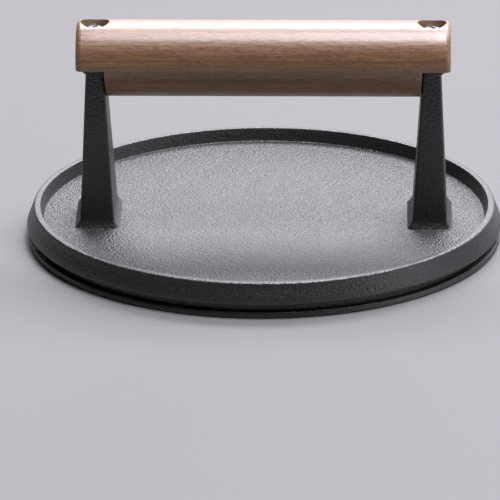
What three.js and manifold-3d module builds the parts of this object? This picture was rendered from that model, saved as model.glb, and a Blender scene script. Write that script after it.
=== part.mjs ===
// Bacon press: a round cast-iron press with two integral posts and a beech dowel handle.
// Millimetres, +Z up. The origin is the centre of the underside, and X runs along the handle.

import * as THREE from 'three';
import { mergeVertices } from 'three/addons/utils/BufferGeometryUtils.js';
import Module from 'manifold-3d';

const wasm = await Module();
wasm.setup();

// ---- Driving dimensions ------------------------------------------------------------------

// Pressing disc: the flat-bottomed step that meets the food.
const DISC_RADIUS = 87.0;
const DISC_EDGE_ROUND = 0.4;
const DISC_DRAFT = 0.15; // how far the disc's side leans in from bottom to top
const NECK_RADIUS = 84.4; // the shadow groove between the disc and the flange
const NECK_LOW_Z = 2.3;
const NECK_HIGH_Z = 4.7;

// Flange and rim: a drafted wall around a shallow dish.
const FLANGE_RADIUS = 87.5; // the widest point of the press
const FLANGE_LOW_ROUND = 1.2;
const RIM_TOP_Z = 12.9;
const RIM_OUTER_RADIUS = 85.2;
const RIM_INNER_RADIUS = 82.5;
const RIM_OUTER_ROUND = 1.0;
const RIM_INNER_ROUND = 0.3;
const DISH_Z = 8.0;
const DISH_RADIUS = 81.3; // where the sloping inner wall would meet the dish floor
const DISH_FILLET = 0.4;

// Posts, which are part of the casting. Each face leans in by a constant draft.
const POST_TOP_Z = 68.2;
const POST_OUTER_X = { low: 67.5, high: 64.85 }; // at the dish floor and at the top
const POST_INNER_X = { low: 54.6, high: 58.45 };
const POST_HALF_DEPTH = { low: 14.8, high: 7.8 };
const POST_EDGE_ROUND = 0.9;
const POST_FOOT_HEIGHT = 3.0; // the flare where each post meets the dish
const POST_FOOT_REACH = { side: 1.8, front: 0.8 };
const POST_FOOT_ROUND = 0.8; // added to the edge rounding at the dish floor
const POST_ROOT_DEPTH = 2.0; // how far the post's root is buried in the plate
const LIP_REACH = 1.3; // small lip on the outer side, under the wood
const LIP_LOW_Z = 64.8;
const LIP_FULL_Z = 66.1;

// Handle: a dowel half-lapped over the posts.
const HANDLE_RADIUS = 14.0;
const HANDLE_AXIS_Z = 69.0;
const HANDLE_LENGTH = 137.0;
const HANDLE_END_ROUND = 2.2;
const SHOULDER_GAP = 0.35;

// Fasteners: an M4 pan-head screw with a lock washer and a flat washer at each post.
const SCREW_X = 61.65;
const SCREW_RADIUS = 2.0;
const SCREW_LENGTH = 20.0;
const SCREW_TIP_CHAMFER = 0.5;
const HOLE_RADIUS = 2.3;
const HOLE_END_Z = 56.5;
const DRILL_POINT = 1.3;
const HEAD_RADIUS = 4.0;
const HEAD_HEIGHT = 3.1;
const HEAD_CROWN = 1.5; // height of the rounded part of the pan head
const RECESS_SPAN = 4.4;
const RECESS_WIDTH = 1.0;
const RECESS_DEPTH = 1.7;
const SEAT_Z = 76.2; // floor of the counterbore
const COUNTERBORE_RADIUS = 5.25;
const FLAT_WASHER = { inner: 2.25, outer: 4.5, thickness: 0.8 };
const LOCK_WASHER = { inner: 2.2, outer: 3.8, thickness: 1.0, split: 0.8, slant: 0.35 };

// Facets: how finely round shapes are divided.
const PLATE_SEGMENTS = 96;
const HANDLE_SEGMENTS = 64;
const SMALL_SEGMENTS = 32;
const ROUND_STEPS = 3;
const FOOT_STEPS = 4;
const FILLET_STEPS = 5;

// ---- Materials ---------------------------------------------------------------------------

const castIron = new THREE.MeshStandardMaterial({ color: 0x2a2a2d, roughness: 0.55, metalness: 0.6 });
const beech = new THREE.MeshStandardMaterial({ color: 0xb58e6b, roughness: 0.5, metalness: 0.0 });
const zincSteel = new THREE.MeshStandardMaterial({ color: 0xa9acb0, roughness: 0.35, metalness: 0.9 });

// ---- Solid helpers -----------------------------------------------------------------------

// Turns a closed three.js geometry into a solid for cutting and joining.
function toSolid(geometry) {
  const bare = geometry.clone();
  bare.deleteAttribute('normal');
  bare.deleteAttribute('uv');
  const merged = mergeVertices(bare, 1e-4);
  return new wasm.Manifold(new wasm.Mesh({
    numProp: 3,
    vertProperties: new Float32Array(merged.attributes.position.array),
    triVerts: new Uint32Array(merged.index.array),
  }));
}

function toGeometry(solid) {
  const mesh = solid.getMesh();
  const geometry = new THREE.BufferGeometry();
  geometry.setAttribute('position', new THREE.BufferAttribute(mesh.vertProperties, 3));
  geometry.setIndex(new THREE.BufferAttribute(mesh.triVerts, 1));
  geometry.computeVertexNormals();
  return geometry;
}

// Points of an arc in a flat profile, from one angle to another, in degrees.
function arc(centreA, centreB, radius, startDeg, endDeg, steps = ROUND_STEPS) {
  const points = [];
  for (let i = 0; i <= steps; i += 1) {
    const angle = THREE.MathUtils.degToRad(startDeg + ((endDeg - startDeg) * i) / steps);
    points.push(new THREE.Vector2(
      centreA + radius * Math.cos(angle),
      centreB + radius * Math.sin(angle),
    ));
  }
  return points;
}

// Turns a profile of (radius, height) points about +Z. The profile runs upwards on the outside.
function turned(profile, segments) {
  const geometry = new THREE.LatheGeometry(profile, segments);
  geometry.rotateX(Math.PI / 2);
  return geometry;
}

function cylinder(radius, lowZ, highZ, x) {
  const geometry = new THREE.CylinderGeometry(radius, radius, highZ - lowZ, SMALL_SEGMENTS);
  geometry.rotateX(Math.PI / 2);
  geometry.translate(x, 0, (lowZ + highZ) / 2);
  return geometry;
}

// Skins a stack of rings that have the same number of points, and caps both ends.
function loft(rings) {
  const count = rings[0].length;
  const positions = [];
  const index = [];
  for (const ring of rings) {
    for (const point of ring) positions.push(point.x, point.y, point.z);
  }
  for (let level = 0; level + 1 < rings.length; level += 1) {
    for (let i = 0; i < count; i += 1) {
      const a = level * count + i;
      const b = level * count + ((i + 1) % count);
      index.push(a, b, b + count, a, b + count, a + count);
    }
  }
  const top = (rings.length - 1) * count;
  for (let i = 1; i + 1 < count; i += 1) {
    index.push(0, i + 1, i);
    index.push(top, top + i, top + i + 1);
  }
  const geometry = new THREE.BufferGeometry();
  geometry.setAttribute('position', new THREE.Float32BufferAttribute(positions, 3));
  geometry.setIndex(index);
  return geometry;
}

// A level rounded rectangle, anticlockwise seen from above.
function roundedRectangle(lowX, highX, halfDepth, radius, z) {
  const corners = [
    [highX - radius, halfDepth - radius, 0],
    [lowX + radius, halfDepth - radius, 90],
    [lowX + radius, -halfDepth + radius, 180],
    [highX - radius, -halfDepth + radius, 270],
  ];
  const ring = [];
  for (const [x, y, start] of corners) {
    for (const point of arc(x, y, radius, start, start + 90)) {
      ring.push(new THREE.Vector3(point.x, point.y, z));
    }
  }
  return ring;
}

// ---- Cast-iron press ---------------------------------------------------------------------

// The round plate as one turned profile: disc, neck, flange, rim and dish.
function plateProfile() {
  const lowRound = FLANGE_LOW_ROUND;
  const dishSlope = THREE.MathUtils.radToDeg(
    Math.atan2(RIM_TOP_Z - DISH_Z, RIM_INNER_RADIUS - DISH_RADIUS),
  );
  return [
    new THREE.Vector2(0, 0),
    ...arc(DISC_RADIUS - DISC_EDGE_ROUND, DISC_EDGE_ROUND, DISC_EDGE_ROUND, -90, 0, 4),
    new THREE.Vector2(DISC_RADIUS - DISC_DRAFT, NECK_LOW_Z),
    new THREE.Vector2(NECK_RADIUS, NECK_LOW_Z),
    new THREE.Vector2(NECK_RADIUS, NECK_HIGH_Z),
    ...arc(FLANGE_RADIUS - lowRound, NECK_HIGH_Z + lowRound, lowRound, -90, 0),
    ...arc(RIM_OUTER_RADIUS - RIM_OUTER_ROUND, RIM_TOP_Z - RIM_OUTER_ROUND, RIM_OUTER_ROUND, 5, 90, 5),
    ...arc(RIM_INNER_RADIUS + RIM_INNER_ROUND, RIM_TOP_Z - RIM_INNER_ROUND, RIM_INNER_ROUND, 90, 160, 2),
    ...arc(DISH_RADIUS - DISH_FILLET * 0.7, DISH_Z + DISH_FILLET, DISH_FILLET, dishSlope - 90, -90, 2),
    new THREE.Vector2(0, DISH_Z),
  ];
}

// Where a drafted post face stands at height z.
function drafted(face, z) {
  const share = (z - DISH_Z) / (POST_TOP_Z - DISH_Z);
  return THREE.MathUtils.lerp(face.low, face.high, share);
}

function postSection(z, side, lip) {
  const above = Math.max(z - DISH_Z, 0);
  const share = Math.max(1 - above / POST_FOOT_HEIGHT, 0) ** 1.5;
  const inner = drafted(POST_INNER_X, z) - POST_FOOT_REACH.side * share;
  const outer = drafted(POST_OUTER_X, z) + POST_FOOT_REACH.side * share + lip;
  const lowX = side > 0 ? inner : -outer;
  const highX = side > 0 ? outer : -inner;
  const halfDepth = drafted(POST_HALF_DEPTH, z) + POST_FOOT_REACH.front * share;
  return roundedRectangle(lowX, highX, halfDepth, POST_EDGE_ROUND + POST_FOOT_ROUND * share, z);
}

function post(side) {
  const rings = [postSection(DISH_Z - POST_ROOT_DEPTH, side, 0)];
  for (let i = 0; i <= FOOT_STEPS; i += 1) {
    rings.push(postSection(DISH_Z + (POST_FOOT_HEIGHT * i) / FOOT_STEPS, side, 0));
  }
  rings.push(postSection(LIP_LOW_Z, side, 0));
  rings.push(postSection(LIP_FULL_Z, side, LIP_REACH));
  rings.push(postSection(POST_TOP_Z, side, LIP_REACH));
  return loft(rings);
}

// A blind tapped hole, entered from the post's top and ending in a drill point.
function blindHole(side) {
  const profile = [
    new THREE.Vector2(0, HOLE_END_Z - DRILL_POINT),
    new THREE.Vector2(HOLE_RADIUS, HOLE_END_Z),
    new THREE.Vector2(HOLE_RADIUS, POST_TOP_Z + 1),
    new THREE.Vector2(0, POST_TOP_Z + 1),
  ];
  return turned(profile, SMALL_SEGMENTS).translate(side * SCREW_X, 0, 0);
}

function pressCasting() {
  let solid = toSolid(turned(plateProfile(), PLATE_SEGMENTS));
  for (const side of [-1, 1]) {
    solid = solid.add(toSolid(post(side)));
    solid = solid.subtract(toSolid(blindHole(side)));
  }
  return toGeometry(solid);
}

// ---- Beech handle ------------------------------------------------------------------------

function dowel() {
  const half = HANDLE_LENGTH / 2;
  const inset = HANDLE_RADIUS - HANDLE_END_ROUND;
  const profile = [
    new THREE.Vector2(0, -half),
    ...arc(inset, -half + HANDLE_END_ROUND, HANDLE_END_ROUND, -90, 0, 5),
    ...arc(inset, half - HANDLE_END_ROUND, HANDLE_END_ROUND, 0, 90, 5),
    new THREE.Vector2(0, half),
  ];
  const geometry = new THREE.LatheGeometry(profile, HANDLE_SEGMENTS);
  geometry.rotateZ(-Math.PI / 2);
  geometry.translate(0, 0, HANDLE_AXIS_Z);
  return geometry;
}

// The half-lap at one end. Its shoulder follows the draft of the post's inner face.
function halfLap(side) {
  const lowZ = HANDLE_AXIS_Z - HANDLE_RADIUS - 1;
  const farX = HANDLE_LENGTH / 2 + 1;
  const outline = new THREE.Shape([
    new THREE.Vector2(drafted(POST_INNER_X, lowZ) - SHOULDER_GAP, lowZ),
    new THREE.Vector2(farX, lowZ),
    new THREE.Vector2(farX, POST_TOP_Z),
    new THREE.Vector2(drafted(POST_INNER_X, POST_TOP_Z) - SHOULDER_GAP, POST_TOP_Z),
  ]);
  const width = 2 * HANDLE_RADIUS + 2;
  const geometry = new THREE.ExtrudeGeometry(outline, { depth: width, bevelEnabled: false });
  geometry.rotateX(Math.PI / 2);
  geometry.translate(0, width / 2, 0);
  if (side < 0) geometry.rotateZ(Math.PI);
  return geometry;
}

function handleGrip() {
  const aboveTop = HANDLE_AXIS_Z + HANDLE_RADIUS + 1;
  let solid = toSolid(dowel());
  for (const side of [-1, 1]) {
    const x = side * SCREW_X;
    solid = solid.subtract(toSolid(halfLap(side)));
    solid = solid.subtract(toSolid(cylinder(HOLE_RADIUS, POST_TOP_Z - 1, SEAT_Z + 1, x)));
    solid = solid.subtract(toSolid(cylinder(COUNTERBORE_RADIUS, SEAT_Z, aboveTop, x)));
  }
  return toGeometry(solid);
}

// ---- Fasteners, each made about its own axis with its underside at z = 0 ------------------

// Cross recess: two crossed slots that narrow towards the bottom.
function crossRecess() {
  const topZ = HEAD_HEIGHT + 0.5;
  const slot = new THREE.Shape([
    new THREE.Vector2(-RECESS_SPAN / 2, topZ),
    new THREE.Vector2(-RECESS_SPAN / 4, HEAD_HEIGHT - RECESS_DEPTH),
    new THREE.Vector2(RECESS_SPAN / 4, HEAD_HEIGHT - RECESS_DEPTH),
    new THREE.Vector2(RECESS_SPAN / 2, topZ),
  ]);
  const blade = new THREE.ExtrudeGeometry(slot, { depth: RECESS_WIDTH, bevelEnabled: false });
  blade.rotateX(Math.PI / 2);
  blade.translate(0, RECESS_WIDTH / 2, 0);
  return toSolid(blade).add(toSolid(blade.clone().rotateZ(Math.PI / 2)));
}

function screwGeometry() {
  const tipZ = -SCREW_LENGTH;
  const wallZ = HEAD_HEIGHT - HEAD_CROWN;
  const crown = [];
  for (let i = 0; i <= FILLET_STEPS; i += 1) {
    const turn = (Math.PI / 2) * (i / FILLET_STEPS);
    crown.push(new THREE.Vector2(HEAD_RADIUS * Math.cos(turn), wallZ + HEAD_CROWN * Math.sin(turn)));
  }
  crown[FILLET_STEPS].x = 0;
  const profile = [
    new THREE.Vector2(0, tipZ),
    new THREE.Vector2(SCREW_RADIUS - SCREW_TIP_CHAMFER, tipZ),
    new THREE.Vector2(SCREW_RADIUS, tipZ + SCREW_TIP_CHAMFER),
    new THREE.Vector2(SCREW_RADIUS, 0),
    new THREE.Vector2(HEAD_RADIUS, 0),
    ...crown,
  ];
  return toGeometry(toSolid(turned(profile, SMALL_SEGMENTS)).subtract(crossRecess()));
}

function washerGeometry({ inner, outer, thickness }) {
  const profile = [
    new THREE.Vector2(inner, 0),
    new THREE.Vector2(outer, 0),
    new THREE.Vector2(outer, thickness),
    new THREE.Vector2(inner, thickness),
    new THREE.Vector2(inner, 0),
  ];
  return turned(profile, SMALL_SEGMENTS);
}

// A ring with one slanted cut through it.
function lockWasherGeometry() {
  const { outer, thickness, split, slant } = LOCK_WASHER;
  const cut = new THREE.BoxGeometry(outer, split, thickness * 3);
  cut.rotateX(slant);
  cut.translate(outer / 2 + 1, 0, thickness / 2);
  return toGeometry(toSolid(washerGeometry(LOCK_WASHER)).subtract(toSolid(cut)));
}

// ---- Assembly ----------------------------------------------------------------------------

const press = new THREE.Group();

function place(name, geometry, material, x = 0, z = 0) {
  const mesh = new THREE.Mesh(geometry, material);
  mesh.name = name;
  mesh.position.set(x, 0, z);
  press.add(mesh);
}

place('press_casting', pressCasting(), castIron);
place('handle_grip', handleGrip(), beech);

const lockWasherZ = SEAT_Z + FLAT_WASHER.thickness;
const screwHeadZ = lockWasherZ + LOCK_WASHER.thickness;
for (const [end, side] of [['left', -1], ['right', 1]]) {
  const x = side * SCREW_X;
  place(`flat_washer_${end}`, washerGeometry(FLAT_WASHER), zincSteel, x, SEAT_Z);
  place(`lock_washer_${end}`, lockWasherGeometry(), zincSteel, x, lockWasherZ);
  place(`handle_screw_${end}`, screwGeometry(), zincSteel, x, screwHeadZ);
}

export default press;
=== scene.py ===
"""Bacon press: fine surfaces, materials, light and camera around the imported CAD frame."""
import math

import bmesh
import bpy
from mathutils import Matrix, Quaternion, Vector, noise


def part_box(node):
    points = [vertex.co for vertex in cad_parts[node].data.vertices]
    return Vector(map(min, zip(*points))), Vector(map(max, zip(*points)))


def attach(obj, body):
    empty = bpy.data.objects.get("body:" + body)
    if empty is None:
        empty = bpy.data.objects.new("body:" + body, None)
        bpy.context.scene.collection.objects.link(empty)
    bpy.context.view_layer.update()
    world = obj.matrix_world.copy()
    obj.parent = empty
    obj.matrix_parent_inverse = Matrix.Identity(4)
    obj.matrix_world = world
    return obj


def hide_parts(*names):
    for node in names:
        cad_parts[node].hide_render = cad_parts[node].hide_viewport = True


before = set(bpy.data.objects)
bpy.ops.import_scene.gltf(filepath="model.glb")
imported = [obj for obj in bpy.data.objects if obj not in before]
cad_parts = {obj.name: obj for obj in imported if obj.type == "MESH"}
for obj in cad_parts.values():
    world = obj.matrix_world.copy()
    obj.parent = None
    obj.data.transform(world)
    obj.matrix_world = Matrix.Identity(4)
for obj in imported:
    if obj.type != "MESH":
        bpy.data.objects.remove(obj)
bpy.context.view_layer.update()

# ---- Sizes in millimetres ------------------------------------------------------------------

MM = 0.001  # metres in a millimetre
SIDES = {"left": -1, "right": 1}


def box_mm(node):
    low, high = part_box(node)
    return low / MM, high / MM


casting_low, casting_high = box_mm("press_casting")
handle_low, handle_high = box_mm("handle_grip")
screw_low, screw_high = box_mm("handle_screw_right")
flat_low, flat_high = box_mm("flat_washer_right")
lock_low, lock_high = box_mm("lock_washer_right")

# Plate
FLANGE_RADIUS = casting_high.x
DISC_RADIUS = 87.0
DISC_EDGE_ROUND = 0.4
DISC_DRAFT = 0.15  # how far the disc's side leans in, bottom to top
DISC_TOP_BREAK = 0.2  # the broken edge between the disc's side and its ledge
NECK_RADIUS = 84.4
NECK_LOW_Z = 2.3
NECK_HIGH_Z = 4.7
FLANGE_LOW_ROUND = 1.2
RIM_TOP_Z = 12.9
RIM_OUTER_RADIUS = 85.2
RIM_INNER_RADIUS = 82.5
RIM_OUTER_ROUND = 1.0
RIM_INNER_ROUND = 0.3
DISH_Z = 8.0
DISH_RADIUS = 81.3
DISH_FILLET = 0.4
FILLET_INSET = 0.7  # how far in the fillet's centre stands, in fillet radii
FLANGE_FOOT_END = 12  # degrees: where the lower rounding meets the drafted wall
RIM_OUTER_START = 5  # degrees: where the wall meets the rim's outer rounding
RIM_INNER_END = 160  # degrees: where the rim's inner rounding meets the dish wall
SKIN_STEP = 2.4  # spacing of the mesh on flat stretches
PLATE_SEGMENTS = 288
SKIN_WAVES = ((0.09, 45.0), (0.012, 170.0))  # depth, and noise cells per metre
TRUE_FACE_MARGIN = 0.5  # the underside and the posts' tops stay flat to this depth

# Posts
POST_TOP_Z = casting_high.z
POST_OUTER_X = (67.5, 64.85)  # at the dish floor and at the top
POST_INNER_X = (54.6, 58.45)
POST_HALF_DEPTH = (14.8, 7.8)
POST_EDGE_ROUND = 0.9
POST_CORNER_STEPS = 7
POST_FOOT_HEIGHT = 3.0  # the flare at each foot
POST_FOOT_REACH = (1.8, 0.8)  # sideways and to the front
POST_FOOT_ROUND = 0.8  # added to the edge rounding at the floor
POST_FOOT_POWER = 1.5  # how fast the flare dies away upwards
POST_FOOT_STEPS = 12
POST_ROOT_DEPTH = 2.0
LIP_REACH = 1.3
LIP_LOW_Z = 64.8
LIP_FULL_Z = 66.1
LIP_EASE_Z = 0.2  # the small bevels where the lip starts and ends
LIP_EASE_X = 0.05
HOLE_RADIUS = 2.15
HOLE_END_Z = 56.5
HOLE_POINT = 1.3  # depth of the drill's cone below the straight hole

# Handle
HANDLE_RADIUS = (handle_high.y - handle_low.y) / 2
HANDLE_AXIS_Z = handle_high.z - HANDLE_RADIUS
HANDLE_HALF = handle_high.x
HANDLE_END_ROUND = 2.2
SHOULDER_GAP = 0.35
WOOD_EDGE_BREAK = 0.5
DOWEL_STEP = 6.0  # spacing of the mesh along the dowel
OVERCUT = 1.0  # how far a cutting tool reaches past the face that it cuts
CLEARANCE_RADIUS = 2.3
CLEARANCE_DEPTH = 2.0  # how far below the posts' tops the hole's tool starts

# Fasteners
SCREW_X = (screw_low.x + screw_high.x) / 2
SCREW_TIP_Z = screw_low.z
HEAD_LOW_Z = lock_high.z
HEAD_TOP_Z = screw_high.z
HEAD_RADIUS = (screw_high.x - screw_low.x) / 2
HEAD_CROWN = 1.5  # height of the rounded part of the pan head
HEAD_EDGE_BREAK = 0.2
CROWN_STEPS = 12
SEAT_Z = flat_low.z
COUNTERBORE_RADIUS = 5.25
THREAD_OUTER = 2.0
THREAD_INNER = 1.6
THREAD_PITCH = 0.7
THREAD_FLANK = 1.25  # steepness of the ridge, so that its crest is flat
THREAD_SLICES = 8  # mesh rings in one pitch
THREAD_TIP_GAP = 0.5  # plain shank below and above the thread
THREAD_HEAD_GAP = 0.6
TIP_CHAMFER = 0.2
NECK_FLARE = 0.3  # how much the shank widens under the head
NECK_FLARE_HEIGHT = 0.5
NECK_FLARE_END = 0.02  # where it ends, below the head
RECESS_SPAN = 4.4
RECESS_WIDTH = 0.95
RECESS_DEPTH = 1.7
RECESS_OVERCUT = 0.5
RECESS_TWIST = {"left": 62, "right": 25}  # degrees: each screw stopped where it came tight
WASHER_HOLE = 2.2
WASHER_EDGE_ROUND = 0.12
SPLIT_WIDTH = 0.8
SPLIT_SLANT = 0.35
SPLIT_REACH = 2.0  # half the height of the tool that cuts the split

# View and light
VIEW_AZIMUTH = 1.3  # degrees, camera towards +X
VIEW_ELEVATION = 20.37
VIEW_ROLL = -0.25
VIEW_DISTANCE = 2.6  # metres
VIEW_TARGET = Vector((-0.0053, 0.0, -0.0060))
LENS = 506.0
DAYLIGHT = (1.0, 0.964, 1.049)  # the faint lilac of the room's light
LIGHT_TARGET = Vector((0.0, 0.0, 0.03))
AMBIENT = 0.02
SENSOR_WIDTH = 36.0
FLOOR_HALF = 6.0  # metres


# ---- Mesh helpers --------------------------------------------------------------------------

def arc(centre, radius, start, end, steps):
    """Points of an arc in a flat profile, angles in degrees."""
    points = []
    for i in range(steps + 1):
        angle = math.radians(start + (end - start) * i / steps)
        points.append((centre[0] + radius * math.cos(angle), centre[1] + radius * math.sin(angle)))
    return points


def stretch(start, end, step):
    """Points strictly between two profile points, about one step apart."""
    count = max(1, round(math.dist(start, end) / step))
    return [tuple(a + (b - a) * i / count for a, b in zip(start, end)) for i in range(1, count)]


def filled(profile, step):
    """The profile with extra points along its long stretches."""
    points = [profile[0]]
    for start, end in zip(profile, profile[1:]):
        points += stretch(start, end, step)
        points.append(end)
    return points


def join_rings(bm, lower, upper):
    count = len(lower)
    for i in range(count):
        j = (i + 1) % count
        bm.faces.new((lower[i], lower[j], upper[j], upper[i]))


def revolve(bm, profile, segments, radius_at=None):
    """Turns (radius, height) points about Z. The profile starts and ends on the axis."""
    rings = []
    for radius, z in profile[1:-1]:
        ring = []
        for i in range(segments):
            angle = 2 * math.pi * i / segments
            r = radius_at(radius, z, angle) if radius_at else radius
            ring.append(bm.verts.new((r * math.cos(angle), r * math.sin(angle), z)))
        rings.append(ring)
    for lower, upper in zip(rings, rings[1:]):
        join_rings(bm, lower, upper)
    low_centre = bm.verts.new((0, 0, profile[0][1]))
    high_centre = bm.verts.new((0, 0, profile[-1][1]))
    for i in range(segments):
        j = (i + 1) % segments
        bm.faces.new((low_centre, rings[0][j], rings[0][i]))
        bm.faces.new((high_centre, rings[-1][i], rings[-1][j]))


def revolve_ring(bm, profile, segments):
    """Turns a closed profile that stays off the axis, such as a washer's section."""
    rings = []
    for radius, z in profile:
        angles = (2 * math.pi * i / segments for i in range(segments))
        rings.append([bm.verts.new((radius * math.cos(a), radius * math.sin(a), z)) for a in angles])
    for lower, upper in zip(rings, rings[1:] + rings[:1]):
        join_rings(bm, lower, upper)


def loft(bm, sections):
    """Skins level sections that have the same number of points, and caps both ends."""
    rings = [[bm.verts.new(point) for point in section] for section in sections]
    for lower, upper in zip(rings, rings[1:]):
        join_rings(bm, lower, upper)
    bm.faces.new(list(reversed(rings[0])))
    bm.faces.new(rings[-1])


def block(bm, points, low_y, high_y):
    """A prism: an outline of (x, z) points, swept along Y."""
    near = [bm.verts.new((x, low_y, z)) for x, z in points]
    far = [bm.verts.new((x, high_y, z)) for x, z in points]
    join_rings(bm, near, far)
    bm.faces.new(list(reversed(near)))
    bm.faces.new(far)


def finished(name, bm, shift=(0, 0, 0)):
    """Makes a Blender object, in metres, from a mesh built in millimetres."""
    bmesh.ops.recalc_face_normals(bm, faces=bm.faces)
    bmesh.ops.transform(bm, matrix=Matrix.Scale(MM, 4) @ Matrix.Translation(shift), verts=bm.verts)
    mesh = bpy.data.meshes.new(name)
    bm.to_mesh(mesh)
    bm.free()
    made = bpy.data.objects.new(name, mesh)
    bpy.context.scene.collection.objects.link(made)
    return made


def apply_modifiers(piece):
    graph = bpy.context.evaluated_depsgraph_get()
    mesh = bpy.data.meshes.new_from_object(piece.evaluated_get(graph))
    piece.modifiers.clear()
    piece.data = mesh


def combine(piece, tools, operation):
    """Joins the tool solids to a piece, or cuts them out of it, and removes the tools."""
    for tool in tools:
        boolean = piece.modifiers.new("combine", "BOOLEAN")
        boolean.operation = operation
        boolean.solver = "MANIFOLD"
        boolean.object = tool
        apply_modifiers(piece)
        bpy.data.objects.remove(tool)


def shade(piece, sharp_angle):
    piece.data.shade_smooth()
    piece.data.set_sharp_from_angle(angle=math.radians(sharp_angle))


# ---- Cast-iron press -----------------------------------------------------------------------

def plate_profile():
    slope = math.degrees(math.atan2(RIM_TOP_Z - DISH_Z, RIM_INNER_RADIUS - DISH_RADIUS))
    disc_edge = (DISC_RADIUS - DISC_EDGE_ROUND, DISC_EDGE_ROUND)
    flange_foot = (FLANGE_RADIUS - FLANGE_LOW_ROUND, NECK_HIGH_Z + FLANGE_LOW_ROUND)
    rim_outer = (RIM_OUTER_RADIUS - RIM_OUTER_ROUND, RIM_TOP_Z - RIM_OUTER_ROUND)
    rim_inner = (RIM_INNER_RADIUS + RIM_INNER_ROUND, RIM_TOP_Z - RIM_INNER_ROUND)
    dish_corner = (DISH_RADIUS - DISH_FILLET * FILLET_INSET, DISH_Z + DISH_FILLET)
    return filled([
        (0, 0),
        *arc(disc_edge, DISC_EDGE_ROUND, -90, 0, steps=8),
        (DISC_RADIUS - DISC_DRAFT, NECK_LOW_Z - DISC_TOP_BREAK),
        (DISC_RADIUS - DISC_DRAFT - DISC_TOP_BREAK, NECK_LOW_Z),
        (NECK_RADIUS, NECK_LOW_Z),
        (NECK_RADIUS, NECK_HIGH_Z),
        *arc(flange_foot, FLANGE_LOW_ROUND, -90, FLANGE_FOOT_END, steps=6),
        *arc(rim_outer, RIM_OUTER_ROUND, RIM_OUTER_START, 90, steps=9),
        *arc(rim_inner, RIM_INNER_ROUND, 90, RIM_INNER_END, steps=5),
        *arc(dish_corner, DISH_FILLET, slope - 90, -90, steps=8),
        (0, DISH_Z),
    ], SKIN_STEP)


def drafted(face, z):
    share = (z - DISH_Z) / (POST_TOP_Z - DISH_Z)
    return face[0] + (face[1] - face[0]) * share


def rounded_rectangle(low_x, high_x, half_depth, radius, z):
    corners = (
        (high_x - radius, half_depth - radius, 0),
        (low_x + radius, half_depth - radius, 90),
        (low_x + radius, radius - half_depth, 180),
        (high_x - radius, radius - half_depth, 270),
    )
    section = []
    for x, y, start in corners:
        corner = arc((x, y), radius, start, start + 90, POST_CORNER_STEPS)
        section += [(px, py, z) for px, py in corner]
    return section


def post_section(z, side, lip=0.0):
    share = max(1 - max(z - DISH_Z, 0) / POST_FOOT_HEIGHT, 0) ** POST_FOOT_POWER
    side_flare, front_flare = (reach * share for reach in POST_FOOT_REACH)
    inner = drafted(POST_INNER_X, z) - side_flare
    outer = drafted(POST_OUTER_X, z) + side_flare + lip
    low_x, high_x = (inner, outer) if side > 0 else (-outer, -inner)
    half_depth = drafted(POST_HALF_DEPTH, z) + front_flare
    return rounded_rectangle(low_x, high_x, half_depth, POST_EDGE_ROUND + POST_FOOT_ROUND * share, z)


def post(side):
    foot = [DISH_Z + POST_FOOT_HEIGHT * i / POST_FOOT_STEPS for i in range(POST_FOOT_STEPS + 1)]
    shaft = [z for _, z in stretch((0, foot[-1]), (0, LIP_LOW_Z), SKIN_STEP)]
    sections = [post_section(z, side) for z in [DISH_Z - POST_ROOT_DEPTH] + foot + shaft]
    lip_steps = (
        (LIP_LOW_Z, 0.0),
        (LIP_LOW_Z + LIP_EASE_Z, LIP_EASE_X),
        (LIP_FULL_Z - LIP_EASE_Z, LIP_REACH - LIP_EASE_X),
        (LIP_FULL_Z, LIP_REACH),
        (POST_TOP_Z, LIP_REACH),
    )
    sections += [post_section(z, side, lip) for z, lip in lip_steps]
    bm = bmesh.new()
    loft(bm, sections)
    return finished("post", bm)


def screw_hole(side):
    bm = bmesh.new()
    revolve(bm, [
        (0, HOLE_END_Z - HOLE_POINT),
        (HOLE_RADIUS, HOLE_END_Z),
        (HOLE_RADIUS, POST_TOP_Z + OVERCUT),
        (0, POST_TOP_Z + OVERCUT),
    ], segments=32)
    return finished("hole", bm, (side * SCREW_X, 0, 0))


def make_casting():
    bm = bmesh.new()
    revolve(bm, plate_profile(), PLATE_SEGMENTS)
    casting = finished("cast_iron_press", bm)
    combine(casting, [post(side) for side in SIDES.values()], "UNION")
    combine(casting, [screw_hole(side) for side in SIDES.values()], "DIFFERENCE")
    cast_unevenness(casting)
    shade(casting, sharp_angle=40)
    return casting


def cast_unevenness(casting):
    """Sand castings are never quite true: moves the skin by up to a tenth of a millimetre."""
    normals = [vertex.normal.copy() for vertex in casting.data.vertices]
    for vertex, normal in zip(casting.data.vertices, normals):
        underside = vertex.co.z < TRUE_FACE_MARGIN * MM
        post_top = vertex.co.z > (POST_TOP_Z - TRUE_FACE_MARGIN) * MM
        if underside or post_top:
            continue
        shift = sum(depth * noise.noise(vertex.co * scale) for depth, scale in SKIN_WAVES)
        vertex.co += normal * shift * MM


# ---- Beech handle --------------------------------------------------------------------------

def make_dowel():
    inset = HANDLE_RADIUS - HANDLE_END_ROUND
    corner_z = HANDLE_HALF - HANDLE_END_ROUND
    bm = bmesh.new()
    revolve(bm, filled([
        (0, -HANDLE_HALF),
        *arc((inset, -corner_z), HANDLE_END_ROUND, -90, 0, steps=10),
        *arc((inset, corner_z), HANDLE_END_ROUND, 0, 90, steps=10),
        (0, HANDLE_HALF),
    ], DOWEL_STEP), segments=96)
    bmesh.ops.transform(bm, matrix=Matrix.Rotation(math.pi / 2, 4, "Y"), verts=bm.verts)
    return finished("beech_handle", bm, (0, 0, HANDLE_AXIS_Z))


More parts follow.
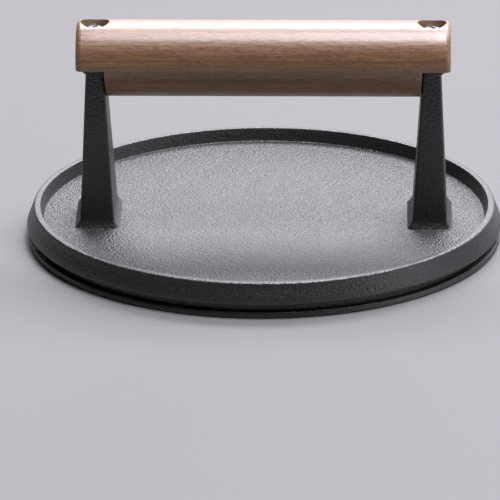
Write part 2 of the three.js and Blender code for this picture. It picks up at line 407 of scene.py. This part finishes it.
def half_lap(side):
    low_z = HANDLE_AXIS_Z - HANDLE_RADIUS - OVERCUT
    far_x = HANDLE_HALF + OVERCUT
    half_width = HANDLE_RADIUS + OVERCUT
    outline = [
        (drafted(POST_INNER_X, low_z) - SHOULDER_GAP, low_z),
        (far_x, low_z),
        (far_x, POST_TOP_Z),
        (drafted(POST_INNER_X, POST_TOP_Z) - SHOULDER_GAP, POST_TOP_Z),
    ]
    bm = bmesh.new()
    block(bm, [(side * x, z) for x, z in outline], -half_width, half_width)
    return finished("half_lap", bm)


def stepped_hole(side):
    """The clearance hole and the counterbore above it, as one turned tool."""
    low_z = POST_TOP_Z - CLEARANCE_DEPTH
    top_z = HANDLE_AXIS_Z + HANDLE_RADIUS + OVERCUT
    bm = bmesh.new()
    revolve(bm, [
        (0, low_z),
        (CLEARANCE_RADIUS, low_z),
        (CLEARANCE_RADIUS, SEAT_Z),
        (COUNTERBORE_RADIUS, SEAT_Z),
        (COUNTERBORE_RADIUS, top_z),
        (0, top_z),
    ], segments=64)
    return finished("stepped_hole", bm, (side * SCREW_X, 0, 0))


def make_handle():
    handle = make_dowel()
    combine(handle, [half_lap(side) for side in SIDES.values()], "DIFFERENCE")
    combine(handle, [stepped_hole(side) for side in SIDES.values()], "DIFFERENCE")
    edge_break = handle.modifiers.new("edge_break", "BEVEL")
    edge_break.width = WOOD_EDGE_BREAK * MM
    edge_break.segments = 3
    edge_break.limit_method = "ANGLE"
    edge_break.angle_limit = math.radians(40)
    apply_modifiers(handle)
    shade(handle, sharp_angle=50)
    return handle


# ---- Fasteners -----------------------------------------------------------------------------

def thread_radius(radius, z, angle):
    """The M4 thread: a helical ridge on the stretch of shank that has the thread's outer radius."""
    if radius != THREAD_OUTER:
        return radius
    turn = (z / THREAD_PITCH - angle / (2 * math.pi)) % 1.0
    ridge = 1 - abs(2 * turn - 1)
    return THREAD_INNER + (THREAD_OUTER - THREAD_INNER) * min(1.0, ridge * THREAD_FLANK)


def screw_body(name, side):
    crown_z = HEAD_TOP_Z - HEAD_CROWN
    turns = [math.pi / 2 * i / CROWN_STEPS for i in range(CROWN_STEPS)]
    crown = [(HEAD_RADIUS * math.cos(t), crown_z + HEAD_CROWN * math.sin(t)) for t in turns]
    thread_low = SCREW_TIP_Z + THREAD_TIP_GAP
    thread_high = HEAD_LOW_Z - THREAD_HEAD_GAP
    thread_length = thread_high - thread_low
    steps = round(thread_length / (THREAD_PITCH / THREAD_SLICES))
    thread = [(THREAD_OUTER, thread_low + thread_length * i / steps) for i in range(steps + 1)]
    bm = bmesh.new()
    revolve(bm, [
        (0, SCREW_TIP_Z),
        (THREAD_INNER - TIP_CHAMFER, SCREW_TIP_Z),
        *thread,
        (THREAD_INNER, HEAD_LOW_Z - NECK_FLARE_HEIGHT),
        (THREAD_INNER + NECK_FLARE, HEAD_LOW_Z - NECK_FLARE_END),
        (HEAD_RADIUS - HEAD_EDGE_BREAK, HEAD_LOW_Z),
        (HEAD_RADIUS, HEAD_LOW_Z + HEAD_EDGE_BREAK),
        *crown,
        (0, HEAD_TOP_Z),
    ], 48, thread_radius)
    return finished(name, bm, (side * SCREW_X, 0, 0))


def recess_tool(side, turn):
    """One slot of the cross, narrower at its bottom."""
    low_z = HEAD_TOP_Z - RECESS_DEPTH
    high_z = HEAD_TOP_Z + RECESS_OVERCUT
    outline = [
        (-RECESS_SPAN / 4, low_z),
        (RECESS_SPAN / 4, low_z),
        (RECESS_SPAN / 2, high_z),
        (-RECESS_SPAN / 2, high_z),
    ]
    bm = bmesh.new()
    block(bm, outline, -RECESS_WIDTH / 2, RECESS_WIDTH / 2)
    bmesh.ops.transform(bm, matrix=Matrix.Rotation(turn, 4, "Z"), verts=bm.verts)
    return finished("recess", bm, (side * SCREW_X, 0, 0))


def make_screw(end, side):
    screw = screw_body(f"pan_head_screw_{end}", side)
    twist = math.radians(RECESS_TWIST[end])
    combine(screw, [recess_tool(side, twist), recess_tool(side, twist + math.pi / 2)], "DIFFERENCE")
    shade(screw, sharp_angle=35)
    return screw


def washer_section(inner, outer, low_z, high_z):
    """A rectangle with rounded corners, as (radius, height) points."""
    r = WASHER_EDGE_ROUND
    corners = (
        (outer - r, low_z + r, -90),
        (outer - r, high_z - r, 0),
        (inner + r, high_z - r, 90),
        (inner + r, low_z + r, 180),
    )
    points = []
    for x, z, start in corners:
        points += arc((x, z), r, start, start + 90, steps=3)
    return points


def make_flat_washer(end, side):
    bm = bmesh.new()
    outer = (flat_high.x - flat_low.x) / 2
    revolve_ring(bm, washer_section(WASHER_HOLE, outer, flat_low.z, flat_high.z), 64)
    washer = finished(f"plain_washer_{end}", bm, (side * SCREW_X, 0, 0))
    shade(washer, sharp_angle=35)
    return washer


def make_lock_washer(end, side):
    outer = (lock_high.y - lock_low.y) / 2
    bm = bmesh.new()
    revolve_ring(bm, washer_section(WASHER_HOLE, outer, lock_low.z, lock_high.z), 64)
    washer = finished(f"spring_washer_{end}", bm, (side * SCREW_X, 0, 0))
    middle_z = (lock_low.z + lock_high.z) / 2
    low_z = middle_z - SPLIT_REACH
    high_z = middle_z + SPLIT_REACH
    lean = math.tan(SPLIT_SLANT) * SPLIT_REACH
    half = SPLIT_WIDTH / 2
    outline = [
        (-half - lean, low_z),
        (half - lean, low_z),
        (half + lean, high_z),
        (-half + lean, high_z),
    ]
    bm = bmesh.new()
    block(bm, outline, 1, outer + OVERCUT)
    combine(washer, [finished("split", bm, (side * SCREW_X, 0, 0))], "DIFFERENCE")
    shade(washer, sharp_angle=35)
    return washer


# ---- Materials -----------------------------------------------------------------------------

# Noise scales are in cells per metre, bump depths in metres, colours are linear RGBA.

IRON_DARK = (0.006, 0.006, 0.007, 1)
IRON_LIGHT = (0.013, 0.0125, 0.0135, 1)
PEBBLE_SCALE = 1080.0
GRIT_SCALE = 1500.0
LUMP_SCALE = 700.0
PATCH_SCALE = 38.0
SKIN_BUMP = 0.00042
WALL_COARSENESS = 0.35  # the skin's bump away from the dish floor, where it is 1
DISH_FADE = (0.009, 0.011)  # heights in metres between which the dish's coarser skin ends

BEECH_DARK = (0.22, 0.118, 0.054, 1)
BEECH_LIGHT = (0.36, 0.203, 0.100, 1)
FIBRE_COLOUR = (0.16, 0.080, 0.037, 1)
FLECK_COLOUR = (0.10, 0.045, 0.020, 1)
PITH_Y = -0.031  # the tree's centre, in metres
PITH_Z = 0.040
RING_SPACING = 0.0021
RING_WANDER = 0.006
FIBRE_BUMP = 0.00006
WAVE_BUMP = 0.00022

ZINC_DARK = (0.46, 0.47, 0.49, 1)
ZINC_LIGHT = (0.66, 0.66, 0.65, 1)
ZINC_BUMP = 0.00002

FLOOR_DARK = (0.184, 0.184, 0.184, 1)
FLOOR_LIGHT = (0.192, 0.192, 0.192, 1)


def new_material(name):
    material = bpy.data.materials.new(name)
    material.use_nodes = True
    tree = material.node_tree
    return material, tree, tree.nodes["Principled BSDF"]


def add_node(tree, kind, settings=None, inputs=None):
    """Adds a node, sets its properties, and sets or links its inputs."""
    made = tree.nodes.new(kind)
    for key, value in (settings or {}).items():
        setattr(made, key, value)
    for key, value in (inputs or {}).items():
        if isinstance(value, bpy.types.NodeSocket):
            tree.links.new(value, made.inputs[key])
        else:
            made.inputs[key].default_value = value
    return made


def row_coordinates(tree, scale=(1, 1, 1)):
    """The surface point in the row frame, in metres, stretched by a scale."""
    source = add_node(tree, "ShaderNodeTexCoord").outputs["Object"]
    return add_node(tree, "ShaderNodeMapping", inputs={"Vector": source, "Scale": scale}).outputs["Vector"]


def noise_value(tree, vector, scale, detail=2.0, roughness=0.5, distortion=0.0):
    return add_node(tree, "ShaderNodeTexNoise", inputs={
        "Vector": vector, "Scale": scale, "Detail": detail, "Roughness": roughness, "Distortion": distortion,
    }).outputs["Fac"]


def math_value(tree, operation, a, b=0.0, c=0.0):
    made = add_node(tree, "ShaderNodeMath", {"operation": operation}, {0: a, 1: b, 2: c})
    return made.outputs[0]


def remap(tree, value, low, high, new_low, new_high):
    return add_node(tree, "ShaderNodeMapRange", inputs={
        "Value": value, "From Min": low, "From Max": high, "To Min": new_low, "To Max": new_high,
    }).outputs["Result"]


def mix_colour(tree, share, first, second):
    made = add_node(tree, "ShaderNodeMix", {"data_type": "RGBA"}, {0: share, 6: first, 7: second})
    return made.outputs[2]


def bump(tree, height, strength, distance, normal=None):
    inputs = {"Height": height, "Strength": strength, "Distance": distance}
    if normal is not None:
        inputs["Normal"] = normal
    return add_node(tree, "ShaderNodeBump", inputs=inputs).outputs["Normal"]


def height_of(tree, vector):
    """The Z part of a vector."""
    return add_node(tree, "ShaderNodeSeparateXYZ", inputs={"Vector": vector}).outputs["Z"]


def on_dish_floor(tree, place):
    """1 on the dish floor, which faces up and lies low, and 0 elsewhere."""
    normal = add_node(tree, "ShaderNodeNewGeometry").outputs["True Normal"]
    facing_up = remap(tree, height_of(tree, normal), 0.6, 0.95, 0.0, 1.0)
    low_down = remap(tree, height_of(tree, place), *DISH_FADE, 1.0, 0.0)
    return math_value(tree, "MULTIPLY", facing_up, low_down)


def cast_iron():
    """Black seasoned iron with the pebbled skin that casting sand leaves."""
    material, tree, shader = new_material("seasoned_cast_iron")
    place = row_coordinates(tree)
    pebbles = add_node(tree, "ShaderNodeTexVoronoi", {"feature": "SMOOTH_F1"}, {
        "Vector": place, "Scale": PEBBLE_SCALE, "Smoothness": 0.25, "Randomness": 1.0,
    }).outputs["Distance"]
    grit = noise_value(tree, place, GRIT_SCALE, detail=3.0, roughness=0.7)
    lumps = noise_value(tree, place, LUMP_SCALE, detail=2.0)
    fine_height = math_value(tree, "MULTIPLY", grit, 0.4)
    height = math_value(tree, "MULTIPLY_ADD", pebbles, -1.0, fine_height)
    height = math_value(tree, "MULTIPLY_ADD", lumps, 0.3, height)
    patches = noise_value(tree, place, PATCH_SCALE, detail=4.0, roughness=0.6)
    colour = mix_colour(tree, patches, IRON_DARK, IRON_LIGHT)
    tree.links.new(colour, shader.inputs["Base Color"])
    tree.links.new(remap(tree, grit, 0.35, 0.65, 0.34, 0.56), shader.inputs["Roughness"])
    dish = on_dish_floor(tree, place)
    coarseness = math_value(tree, "MULTIPLY_ADD", dish, 1 - WALL_COARSENESS, WALL_COARSENESS)
    height = math_value(tree, "MULTIPLY", height, coarseness)
    tree.links.new(bump(tree, height, 1.0, SKIN_BUMP), shader.inputs["Normal"])
    shader.inputs["Metallic"].default_value = 0.0
    shader.inputs["IOR"].default_value = 1.85
    return material


def growth_rings(tree):
    """A wave from -1 to 1 in rings about the tree's centre, which lies outside the handle."""
    drift = noise_value(tree, row_coordinates(tree, (0.06, 1, 1)), 60.0, detail=2.0)
    parts = add_node(tree, "ShaderNodeSeparateXYZ", inputs={"Vector": row_coordinates(tree)}).outputs
    across = math_value(tree, "ADD", parts["Y"], -PITH_Y)
    up = math_value(tree, "ADD", parts["Z"], -PITH_Z)
    across_squared = math_value(tree, "MULTIPLY", across, across)
    up_squared = math_value(tree, "MULTIPLY", up, up)
    radius = math_value(tree, "SQRT", math_value(tree, "ADD", across_squared, up_squared))
    wandering = math_value(tree, "MULTIPLY_ADD", drift, RING_WANDER, radius)
    return math_value(tree, "SINE", math_value(tree, "MULTIPLY", wandering, 2 * math.pi / RING_SPACING))


def beech():
    """Steamed beech: faint growth rings, fine fibres and short dark flecks along the handle."""
    material, tree, shader = new_material("steamed_beech")
    rings = growth_rings(tree)
    streaks = noise_value(tree, row_coordinates(tree, (0.045, 1, 1)), 520.0, detail=4.0, roughness=0.6)
    fibres = noise_value(tree, row_coordinates(tree, (0.03, 1, 1)), 2400.0, detail=2.0)
    flecks = noise_value(tree, row_coordinates(tree, (0.28, 1, 1)), 1500.0, detail=2.0)
    fleck_share = remap(tree, flecks, 0.56, 0.68, 0.0, 0.6)
    tone = math_value(tree, "MULTIPLY_ADD", rings, 0.10, streaks)
    base = mix_colour(tree, remap(tree, tone, 0.25, 0.75, 0.0, 1.0), BEECH_DARK, BEECH_LIGHT)
    shaded = mix_colour(tree, remap(tree, fibres, 0.35, 0.65, 0.0, 0.55), base, FIBRE_COLOUR)
    colour = mix_colour(tree, fleck_share, shaded, FLECK_COLOUR)
    tree.links.new(colour, shader.inputs["Base Color"])
    tree.links.new(remap(tree, streaks, 0.3, 0.7, 0.40, 0.52), shader.inputs["Roughness"])
    waviness = noise_value(tree, row_coordinates(tree, (0.45, 1, 1)), 620.0, detail=3.0)
    grain_bump = bump(tree, fibres, 0.5, FIBRE_BUMP)
    tree.links.new(bump(tree, waviness, 1.0, WAVE_BUMP, grain_bump), shader.inputs["Normal"])
    shader.inputs["Coat Weight"].default_value = 1.0
    shader.inputs["Coat IOR"].default_value = 1.55
    shader.inputs["Coat Roughness"].default_value = 0.33
    return material


def zinc_steel():
    """Zinc-plated steel, slightly dull and cloudy."""
    material, tree, shader = new_material("zinc_plated_steel")
    place = row_coordinates(tree)
    clouds = noise_value(tree, place, 900.0, detail=4.0)
    marks = noise_value(tree, row_coordinates(tree, (1, 1, 0.1)), 6000.0, detail=2.0)
    colour = mix_colour(tree, clouds, ZINC_DARK, ZINC_LIGHT)
    tree.links.new(colour, shader.inputs["Base Color"])
    tree.links.new(remap(tree, clouds, 0.3, 0.7, 0.24, 0.42), shader.inputs["Roughness"])
    tree.links.new(bump(tree, marks, 0.2, ZINC_BUMP), shader.inputs["Normal"])
    shader.inputs["Metallic"].default_value = 1.0
    return material


def pale_floor():
    material, tree, shader = new_material("pale_floor")
    place = row_coordinates(tree)
    tone = noise_value(tree, place, 3.0, detail=2.0)
    colour = mix_colour(tree, tone, FLOOR_DARK, FLOOR_LIGHT)
    tree.links.new(colour, shader.inputs["Base Color"])
    shader.inputs["Roughness"].default_value = 0.7
    shader.inputs["Specular IOR Level"].default_value = 0.3
    return material


# ---- Assembly ------------------------------------------------------------------------------

def stand_for(piece, node, material):
    piece.data.materials.clear()
    piece.data.materials.append(material)
    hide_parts(node)
    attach(piece, "root")


def make_object():
    stand_for(make_casting(), "press_casting", cast_iron())
    stand_for(make_handle(), "handle_grip", beech())
    steel = zinc_steel()
    for end, side in SIDES.items():
        stand_for(make_flat_washer(end, side), f"flat_washer_{end}", steel)
        stand_for(make_lock_washer(end, side), f"lock_washer_{end}", steel)
        stand_for(make_screw(end, side), f"handle_screw_{end}", steel)


# ---- Stage ---------------------------------------------------------------------------------

def make_floor():
    bm = bmesh.new()
    bmesh.ops.create_grid(bm, x_segments=1, y_segments=1, size=FLOOR_HALF)
    mesh = bpy.data.meshes.new("floor")
    bm.to_mesh(mesh)
    bm.free()
    floor = bpy.data.objects.new("floor", mesh)
    mesh.materials.append(pale_floor())
    bpy.context.scene.collection.objects.link(floor)


def aim(thing, place, target):
    thing.location = place
    thing.rotation_mode = "QUATERNION"
    thing.rotation_quaternion = (Vector(target) - Vector(place)).to_track_quat("-Z", "Y")


def direction(azimuth, elevation):
    """The unit vector from the object towards a place, azimuth in degrees from +X towards +Y."""
    a, e = math.radians(azimuth), math.radians(elevation)
    return Vector((math.cos(a) * math.cos(e), math.sin(a) * math.cos(e), math.sin(e)))


def soft_light(name, azimuth, elevation, distance, size, power):
    """A rectangular softbox facing the object; size is (width, height) in metres."""
    data = bpy.data.lights.new(name, "AREA")
    data.shape = "RECTANGLE"
    data.size, data.size_y = size
    data.energy = power
    data.color = DAYLIGHT
    light = bpy.data.objects.new(name, data)
    light.visible_camera = False
    bpy.context.scene.collection.objects.link(light)
    aim(light, direction(azimuth, elevation) * distance, LIGHT_TARGET)


def make_lights():
    world = bpy.data.worlds.new("studio")
    world.use_nodes = True
    background = world.node_tree.nodes["Background"]
    background.inputs["Color"].default_value = (*DAYLIGHT, 1)
    background.inputs["Strength"].default_value = AMBIENT
    bpy.context.scene.world = world
    soft_light("back", azimuth=82, elevation=47.5, distance=4.2, size=(3.6, 1.6), power=252)
    soft_light("key", azimuth=35, elevation=38, distance=3.5, size=(1.2, 1.2), power=27)
    soft_light("overhead", azimuth=-10, elevation=79, distance=2.2, size=(1.2, 0.9), power=65)
    soft_light("horizon", azimuth=78, elevation=14, distance=4.5, size=(5.5, 2.0), power=60)
    soft_light("right", azimuth=-18, elevation=10, distance=2.5, size=(1.6, 0.8), power=7.5)


def make_camera():
    data = bpy.data.cameras.new("camera")
    data.lens = LENS
    data.sensor_width = SENSOR_WIDTH
    data.clip_end = 50.0
    camera = bpy.data.objects.new("camera", data)
    bpy.context.scene.collection.objects.link(camera)
    towards_camera = direction(VIEW_AZIMUTH - 90, VIEW_ELEVATION)
    aim(camera, VIEW_TARGET + towards_camera * VIEW_DISTANCE, VIEW_TARGET)
    camera.rotation_quaternion @= Quaternion((0, 0, 1), math.radians(VIEW_ROLL))
    bpy.context.scene.camera = camera


make_camera()
make_object()
make_floor()
make_lights()
bpy.context.scene.view_settings.view_transform = "Standard"
